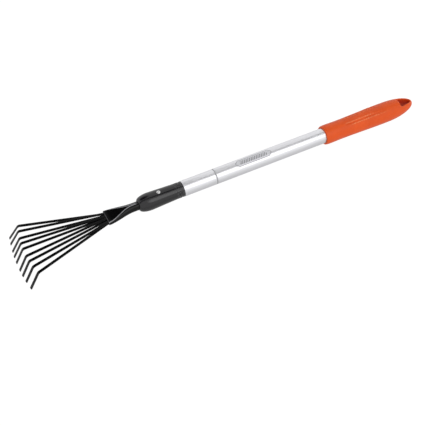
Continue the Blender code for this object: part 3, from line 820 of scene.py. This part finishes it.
def tine_path(root_y, mouth_y, knee_y, layer_z, steps=14):
    """Centre line of a tine: along the socket, out to its knee, and down round it to the tip."""
    root = Vector((TINE_ROOT, root_y, layer_z))
    splay = Vector((SPLAY_STATION, mouth_y, layer_z))
    knee = Vector((FAN_APEX - math.sqrt(FAN_RADIUS**2 - knee_y**2), knee_y, -KNEE_DROP))
    shaft = (knee - splay).normalized()
    heading = Vector((shaft.x, shaft.y * TIP_SPLAY, 0.0)).normalized()
    tip_bend = blend(TIP_BEND, OUTER_TIP_BEND, (knee_y / TINE_KNEES_Y[0]) ** 2)
    tip = heading * math.cos(tip_bend) - Vector((0.0, 0.0, math.sin(tip_bend)))
    bend = shaft.angle(tip)
    reach = KNEE_ROUNDING * math.tan(bend / 2)
    arc_start = knee - shaft * reach
    axis = shaft.cross(tip).normalized()
    centre = arc_start + axis.cross(shaft) * KNEE_ROUNDING
    path = [root, splay] + [splay.lerp(arc_start, i / 12) for i in range(1, 12)]
    for i in range(steps + 1):
        spin = Matrix.Rotation(bend * i / steps, 3, axis)
        path.append(centre + spin @ (arc_start - centre))
    end = knee + tip * TIP_LENGTH
    path += [path[-1].lerp(end, i / 4) for i in range(1, 5)]
    return path


def strip_section(width, thickness, radius=TINE_FILLET, steps=4):
    """(across, up) points round a strip with rounded edges."""
    points = []
    for quarter in range(4):
        side = 1 if quarter in (0, 3) else -1
        level = 1 if quarter in (0, 1) else -1
        for k in range(steps + 1):
            angle = math.pi / 2 * (quarter + k / steps)
            across = side * (width / 2 - radius) + radius * math.cos(angle)
            points.append((across, level * (thickness / 2 - radius) + radius * math.sin(angle)))
    return points


def make_tine(number, mouth_y, knee_y, material):
    """A spring strip with rounded edges and tip, that broadens a little from the socket to its knee."""
    layer_z = (-TINE_LAYER if number % 2 else TINE_LAYER) - PLATE_DROP
    root_y = ((len(TINE_MOUTHS_Y) + 1) / 2 - number) * TINE_ROOT_PITCH
    path = tine_path(root_y, mouth_y, knee_y, layer_z)
    up = Vector((0.0, 0.0, 1.0))
    runs = [(end - start).normalized() for start, end in zip(path, path[1:])]
    rings = []
    for step, point in enumerate(path):
        width = TINE_WIDTH * blend(1.0, TINE_BROADENING, min(max(step - 1, 0) / 11, 1.0))
        before = runs[max(step - 1, 0)]
        after = runs[min(step, len(runs) - 1)]
        along = (before + after).normalized()
        side = (up.cross(before).normalized() + up.cross(after).normalized()).normalized()
        over = along.cross(side)
        shares = [(0.0, 1.0)]
        if step == len(path) - 1:
            angles = [math.pi / 2 * k / 5 for k in range(5)]
            shares = [
                (TINE_TIP_ROUND * (math.sin(a) - 1.0), 1.0 - TIP_NARROWING * (1.0 - math.cos(a)))
                for a in angles
            ]
            shares.append((0.0, TIP_END_SHARE))
        for offset, share in shares:
            section = strip_section(width * share, TINE_THICKNESS * min(1.0, share + TIP_THICKNESS_LEAD))
            rings.append([point + along * offset + side * a + over * b for a, b in section])
    name = f"tine_strip_{number}"
    mesh = skinned(name, rings, caps=True)
    add_piece(name, mesh, "head", "tine_steel", material, f"tine_{number}")


# ---------------------------------------------------------------- Grip

def grip_radii(x, tip):
    """Radius of the grip's body at each x, and the share of it that the nose leaves."""
    mouth = GRIP_ENDS[0]
    lip_swell = ease((GRIP_WAIST - x) / (GRIP_WAIST - mouth - GRIP_LIP_LENGTH))
    belly_swell = ease((x - GRIP_WAIST) / (GRIP_BELLY - GRIP_WAIST))
    radius = GRIP_WAIST_RADIUS + (GRIP_LIP_RADIUS - GRIP_WAIST_RADIUS) * lip_swell
    radius = radius + (GRIP_BELLY_RADIUS - GRIP_WAIST_RADIUS) * belly_swell
    to_mouth = np.clip(1.0 - (x - mouth) / GRIP_LIP_LENGTH, 0.0, 1.0)
    radius = radius - GRIP_LIP_ROUNDING * (1.0 - np.sqrt(1.0 - to_mouth**2))
    along = np.clip((x - GRIP_NOSE_START) / (tip - GRIP_NOSE_START), 0.0, 1.0)
    return radius, np.sqrt(1.0 - NOSE_CLOSING * along**2)


def ridge(x, y, z, run, width):
    """Share of a long ridge, 1 on its crest, at one turn from the top on both sides of the grip."""
    start, end, turn = run
    t = np.clip((x - start) / (end - start), 0.0, 1.0)
    fade = ease(t / RIB_FADES[0]) * ease((1.0 - t) / RIB_FADES[1])
    off = np.abs(np.arctan2(np.abs(y), z) - turn) * GRIP_BELLY_RADIUS
    return fade * np.exp(-((off / (width * 0.6)) ** 2))


def rib_share(x, y, z):
    return np.maximum(ridge(x, y, z, RIBS[0], RIB_WIDTH), ridge(x, y, z, RIBS[1], RIB_WIDTH))


def rib_height(x, y, z):
    """Two thin raised ribs on each side of the top, with a shallow groove between them."""
    return RIB_HEIGHT * rib_share(x, y, z) - GROOVE_DEPTH * ridge(x, y, z, GROOVE, GROOVE_WIDTH)


def grip_outer(points):
    """Negative inside the grip's outer side. Only its zero is a true place."""
    x, y, z = points.T
    radius, share = grip_radii(x, GRIP_ENDS[1])
    power = np.where(z > 0.0, NOSE_TOP_POWER, NOSE_UNDERSIDE_POWER)
    width = radius * share
    height = radius * share**power
    return (np.sqrt((y / width) ** 2 + (z / height) ** 2) - 1.0) * np.sqrt(width * height)


def slope(field, points, step=2e-5):
    """Gradient of a field at each point."""
    parts = []
    for axis in range(3):
        offset = np.zeros(3)
        offset[axis] = step
        parts.append((field(points + offset) - field(points - offset)) / (2 * step))
    return np.stack(parts, axis=1)


def outer_distance(points):
    """Distance, near enough, from the grip's outer side without its ribs, negative inside."""
    steepness = np.maximum(np.linalg.norm(slope(grip_outer, points), axis=1), LEAST_SLOPE)
    return grip_outer(points) / steepness


def soft_max(one, other, rounding):
    """The larger of two fields, with the corner between them rounded."""
    near = np.maximum(rounding - np.abs(one - other), 0.0) / rounding
    return np.maximum(one, other) + near * near * rounding / 4.0


def hang_hole_outline(steps=24):
    """(x, y) points round the hang hole at mid height: a pointed arch with a short flat crown."""
    base, crown = HANG_HOLE
    springing = base + HANG_HOLE_CORNER
    half = []
    for i in range(8):
        angle = math.pi / 2 * i / 8
        width = HANG_HOLE_HALF_WIDTH - HANG_HOLE_CORNER * (1.0 - math.sin(angle))
        half.append((springing - HANG_HOLE_CORNER * math.cos(angle), width))
    for i in range(steps + 1):
        from_crown = (1.0 - i / steps) ** 2
        width = blend(HANG_HOLE_REST, HANG_HOLE_HALF_WIDTH, from_crown**HANG_HOLE_TAPER)
        half.append((blend(crown, springing, from_crown), width))
    return half + [(x, -y) for x, y in reversed(half)]


def hole_distance(points):
    """Signed distance in plan to the hang hole's side, negative in the hole, which flares upward."""
    outline = np.array(hang_hole_outline())
    x, y, z = points.T
    plan = np.stack([x, y / (1.0 + HANG_HOLE_FLARE * z)], axis=1)
    nearest = np.full(len(plan), 1.0)
    inside = np.zeros(len(plan), dtype=bool)
    for start, end in zip(outline, np.roll(outline, -1, axis=0)):
        run = end - start
        share = np.clip(((plan - start) @ run) / (run @ run), 0.0, 1.0)
        nearest = np.minimum(nearest, np.linalg.norm(plan - start - share[:, None] * run, axis=1))
        crosses = (start[1] > plan[:, 1]) != (end[1] > plan[:, 1])
        rise = run[1] if run[1] != 0.0 else 1.0
        inside ^= crosses & (plan[:, 0] < start[0] + (plan[:, 1] - start[1]) / rise * run[0])
    return np.where(inside, -nearest, nearest)


def grip_field(points):
    """Signed distance, near enough, to the finished surface of the grip."""
    x, y, z = points.T
    body = outer_distance(points) - rib_height(x, y, z)
    body = soft_max(body, GRIP_ENDS[0] - x, MOUTH_FILLET)
    body = soft_max(body, x - GRIP_ENDS[1], TIP_FILLET)
    bore = np.maximum(np.hypot(y, z) - GRIP_BORE_RADIUS, x - GRIP_BORE_END)
    body = soft_max(body, -bore, BORE_FILLET)
    return soft_max(body, -hole_distance(points), HANG_HOLE_FILLET)


def bore_cutter():
    rings = []
    for x in (GRIP_ENDS[0] - CUTTER_OVERRUN, GRIP_BORE_END):
        turns = [math.tau * i / GRIP_SIDES for i in range(GRIP_SIDES)]
        rings.append([(x, GRIP_BORE_RADIUS * math.cos(a), GRIP_BORE_RADIUS * math.sin(a)) for a in turns])
    return skinned("bore", rings, caps=True)


def hole_cutter():
    rings = []
    for z in (-HANG_CUTTER_REACH, HANG_CUTTER_REACH):
        widening = 1.0 + HANG_HOLE_FLARE * z
        rings.append([(x, y * widening, z) for x, y in hang_hole_outline()])
    return skinned("hole", rings, caps=True)


def grip_blank():
    """The grip as a loft with its bore and hang hole cut, remeshed into small even faces."""
    mouth, tip = GRIP_ENDS
    body = spaced(mouth, GRIP_NOSE_START, 100)
    nose = [blend(GRIP_NOSE_START, tip, math.sin(math.pi / 2 * i / 40)) for i in range(1, 41)]
    stations = np.array(body + nose)
    radii, shares = grip_radii(stations, tip)
    rings = []
    for x, radius, share in zip(stations, radii, shares):
        ring = []
        for i in range(GRIP_SIDES):
            angle = math.tau * i / GRIP_SIDES
            power = NOSE_TOP_POWER if math.sin(angle) > 0.0 else NOSE_UNDERSIDE_POWER
            ring.append((x, radius * share * math.cos(angle), radius * share**power * math.sin(angle)))
        rings.append(ring)
    blank = bpy.data.objects.new("grip_blank", skinned("grip_blank", rings, caps=True))
    cutters = [bore_cutter(), hole_cutter()]
    bpy.context.scene.collection.objects.link(blank)
    helpers = [blank]
    for mesh in cutters:
        cutter = bpy.data.objects.new(mesh.name, mesh)
        bpy.context.scene.collection.objects.link(cutter)
        helpers.append(cutter)
        cut = blank.modifiers.new(mesh.name, "BOOLEAN")
        cut.operation = "DIFFERENCE"
        cut.object = cutter
    even = blank.modifiers.new("Even", "REMESH")
    even.mode = "VOXEL"
    even.voxel_size = GRIP_VOXEL
    mesh = bpy.data.meshes.new_from_object(blank.evaluated_get(bpy.context.evaluated_depsgraph_get()))
    for helper in helpers:
        bpy.data.objects.remove(helper)
    mesh.materials.clear()
    return mesh


def make_grip():
    """Draws the even blank onto the finished surface of the grip."""
    mesh = grip_blank()
    points = np.empty(len(mesh.vertices) * 3)
    mesh.vertices.foreach_get("co", points)
    points = points.reshape(-1, 3)
    for _ in range(4):
        gradient = slope(grip_field, points)
        size = np.maximum((gradient * gradient).sum(axis=1), 0.2)
        move = (grip_field(points) / size)[:, None] * gradient
        points = points - np.clip(move, -GRIP_VOXEL, GRIP_VOXEL)
    mesh.vertices.foreach_set("co", points.ravel())
    mesh.update()
    mesh.name = "grip_moulding"
    mesh.shade_smooth()
    mark_edges(mesh, 330.0, 900.0)
    edge = mesh.attributes["edge"].data
    wear = np.empty(len(edge))
    edge.foreach_get("value", wear)
    # The ribs' crests join the edge field, so the grip's material paints them in its lighter colour as
    # painted highlights
    edge.foreach_set("value", np.maximum(wear, rib_share(*points.T)))
    # Painted shade: each point's depth below the outer side, stored as "hollow" to darken the inside of
    # the hang hole
    hollow = mesh.attributes.new("hollow", "FLOAT", "POINT")
    hollow.data.foreach_set("value", ease((-outer_distance(points) - HOLE_SHADE_START) / HOLE_SHADE_DEPTH))
    add_piece("grip_moulding", mesh, "handle", "grip_plastic", grip_rubber(), "grip")


# ---------------------------------------------------------------- Badge

def make_badge():
    """A bent film badge, pointed at both ends, with a raised printed border and slanted bars."""
    start, end = ends_of("name_badge")
    columns, rows = BADGE_GRID
    inner_face = TUBE_RADIUS + GAP
    points, printed = [], []
    for i in range(columns + 1):
        x = blend(start, end, i / columns)
        from_end = min(x - start, end - x)
        half_width = BADGE_HALF_WIDTH * blend(BADGE_POINT_SHARE, 1.0, min(from_end / BADGE_POINT, 1.0))
        for j in range(rows + 1):
            across = blend(-half_width, half_width, j / rows)
            inset = min(half_width - abs(across), from_end)
            ink = BORDER_INSETS[0] < inset < BORDER_INSETS[1]
            along = (x - BAR_SLANT * across) % BAR_PITCH
            if from_end > BAR_MARGIN and abs(across) < BAR_REACH and along < BAR_WIDTH:
                ink = True
            angle = across / inner_face - BADGE_TURN
            height = inner_face + BADGE_THICKNESS - PRINT_RISE * (0.0 if ink else 1.0)
            points.append((x, height * math.sin(angle), height * math.cos(angle)))
            printed.append(1.0 if ink else 0.0)
    width = rows + 1
    faces = []
    for i in range(columns):
        for j in range(rows):
            corner = i * width + j
            faces.append((corner, corner + 1, corner + width + 1, corner + width))
    count = len(points)
    underside = [Vector(point) for point in points]
    for point in underside:
        radial = Vector((0.0, point.y, point.z))
        point.yz = (radial * (inner_face / radial.length)).yz
    edge = list(range(width))
    edge += [i * width + rows for i in range(1, columns + 1)]
    edge += [columns * width + j for j in range(rows - 1, -1, -1)]
    edge += [i * width for i in range(columns - 1, 0, -1)]
    lower = [tuple(count + corner for corner in reversed(face)) for face in faces]
    walls = []
    for one, other in zip(edge, edge[1:] + edge[:1]):
        walls.append((one, other, count + other, count + one))
    mesh = bpy.data.meshes.new("badge_film")
    mesh.from_pydata(points + [tuple(point) for point in underside], [], faces + lower + walls)
    finish_mesh(mesh)
    field = mesh.attributes.new("printed", "FLOAT", "POINT")
    field.data.foreach_set("value", printed + [0.0] * count)
    add_piece("badge_film", mesh, "handle", "badge_film", badge_film(), "name_badge")


# ---------------------------------------------------------------- Lock parts that keep their CAD shape

def finish_lock_parts(steel):
    low, high, worn = rgb(0.70, 0.70, 0.67), rgb(0.78, 0.78, 0.75), rgb(0.5, 0.5, 0.5)
    white = moulded("plug_plastic", low, high, worn, 0.45)
    low, high, worn = rgb(0.09, 0.09, 0.10), rgb(0.12, 0.12, 0.13), rgb(0.3, 0.3, 0.3)
    grey = moulded("expander_plastic", low, high, worn, 0.48)
    finishes = {"expander_plug": white, "expander_sleeve": grey}
    finishes |= {name: steel for name in ("expander_screw", "expander_cone", "expander_stop_nut")}
    for name, material in finishes.items():
        node = frame["nodes"][name]
        node.data.materials.clear()
        node.data.materials.append(material)


# ---------------------------------------------------------------- Studio

def make_camera():
    data = bpy.data.cameras.new("camera")
    data.sensor_width = 36.0
    data.lens = CAMERA_LENS
    data.shift_x, data.shift_y = CAMERA_SHIFT
    level = math.cos(CAMERA_ELEVATION)
    back = Vector((
        math.sin(CAMERA_AZIMUTH) * level,
        -math.cos(CAMERA_AZIMUTH) * level,
        math.sin(CAMERA_ELEVATION),
    ))
    turn = back.to_track_quat("Z", "Y").to_matrix().to_4x4() @ Matrix.Rotation(CAMERA_ROLL, 4, "Z")
    camera = bpy.data.objects.new("camera", data)
    bpy.context.scene.collection.objects.link(camera)
    camera.matrix_world = TOOL @ Matrix.Translation(CAMERA_PLACE) @ turn
    bpy.context.scene.camera = camera


def make_world():
    """Bright surround, a little dimmer below, with two soft dark places overhead.

    A narrow strip runs along the tool and shows in the tubes. A round patch shows in the flat
    tops of the tines and the socket.
    """
    world = bpy.data.worlds.new("studio")
    bpy.context.scene.world = world
    world.use_nodes = True
    tree = world.node_tree
    direction = add(tree, "ShaderNodeTexCoord", "Generated")
    height = dot_product(tree, direction, Vector((0.0, 0.0, 1.0)))
    level = ranged(tree, height, HORIZON_FOOT, 0.0, BELOW_HORIZON, SURROUND)
    level = maths(tree, "MULTIPLY", level, ranged(tree, height, -1.0, HORIZON_FOOT, UNDERNEATH, 1.0))
    across = Vector((0.0, math.cos(STRIP_LEAN), -math.sin(STRIP_LEAN)))
    off = maths(tree, "ABSOLUTE", dot_product(tree, direction, across))
    strip = ranged(tree, off, math.sin(STRIP_CORE), math.sin(STRIP_EDGE), STRIP_DARKNESS, 0.0)
    strip = maths(tree, "MULTIPLY", strip, ranged(tree, height, *STRIP_FOOT, 0.0, 1.0))
    toward = dot_product(tree, direction, PATCH_DIRECTION.normalized())
    patch = ranged(tree, toward, math.cos(PATCH_EDGE), math.cos(PATCH_CORE), 0.0, PATCH_DARKNESS)
    dark = maths(tree, "MAXIMUM", strip, patch)
    strength = maths(tree, "MULTIPLY", level, maths(tree, "SUBTRACT", 1.0, dark))
    join(tree, strength, tree.nodes["Background"].inputs["Strength"])
    tree.nodes["Background"].inputs["Color"].default_value = rgb(1.0, 1.0, 1.0)


def make_light(name, direction, distance, size, power):
    data = bpy.data.lights.new(name, "AREA")
    data.shape = "DISK"
    data.size = size
    data.energy = power
    light = bpy.data.objects.new(name, data)
    bpy.context.scene.collection.objects.link(light)
    direction = direction.normalized()
    light.location = direction * distance
    light.rotation_euler = direction.to_track_quat("Z", "Y").to_euler()


def make_floor():
    """A floor that glows, so that it stays white, without lighting the rake or showing in it."""
    mesh = bpy.data.meshes.new("floor")
    shape = bmesh.new()
    bmesh.ops.create_grid(shape, x_segments=1, y_segments=1, size=FLOOR_REACH)
    shape.to_mesh(mesh)
    shape.free()
    floor = bpy.data.objects.new("floor", mesh)
    bpy.context.scene.collection.objects.link(floor)
    floor.location.z = -FLOOR_DROP
    material, _, shader = new_material("floor_paper")
    shader.inputs["Base Color"].default_value = rgb(FLOOR_GREY, FLOOR_GREY, FLOOR_GREY)
    shader.inputs["Roughness"].default_value = 0.9
    shader.inputs["Emission Color"].default_value = rgb(1.0, 1.0, 1.0)
    shader.inputs["Emission Strength"].default_value = FLOOR_GLOW
    mesh.materials.append(material)
    floor.visible_diffuse = False
    floor.visible_glossy = False


def main():
    steel = plated_steel("plated_steel")
    low, high, worn = rgb(0.004, 0.0035, 0.005), rgb(0.007, 0.006, 0.008), rgb(0.30, 0.30, 0.31)
    black = moulded("black_moulding", low, high, worn, 0.19, grain_depth=0.00001, wear=0.8, level=0.55)
    make_tubes()
    make_bush()
    make_ferrule(black)
    make_rivet(steel)
    make_collar(black)
    make_socket()
    strip = enamel()
    for number, (mouth_y, knee_y) in enumerate(zip(TINE_MOUTHS_Y, TINE_KNEES_Y), start=1):
        make_tine(number, mouth_y, knee_y, strip)
    make_grip()
    make_badge()
    finish_lock_parts(steel)
    make_camera()
    make_world()
    make_light("key", KEY_DIRECTION, KEY_DISTANCE, KEY_SIZE, KEY_POWER)
    make_floor()
    bpy.context.scene.view_settings.view_transform = "Standard"


main()
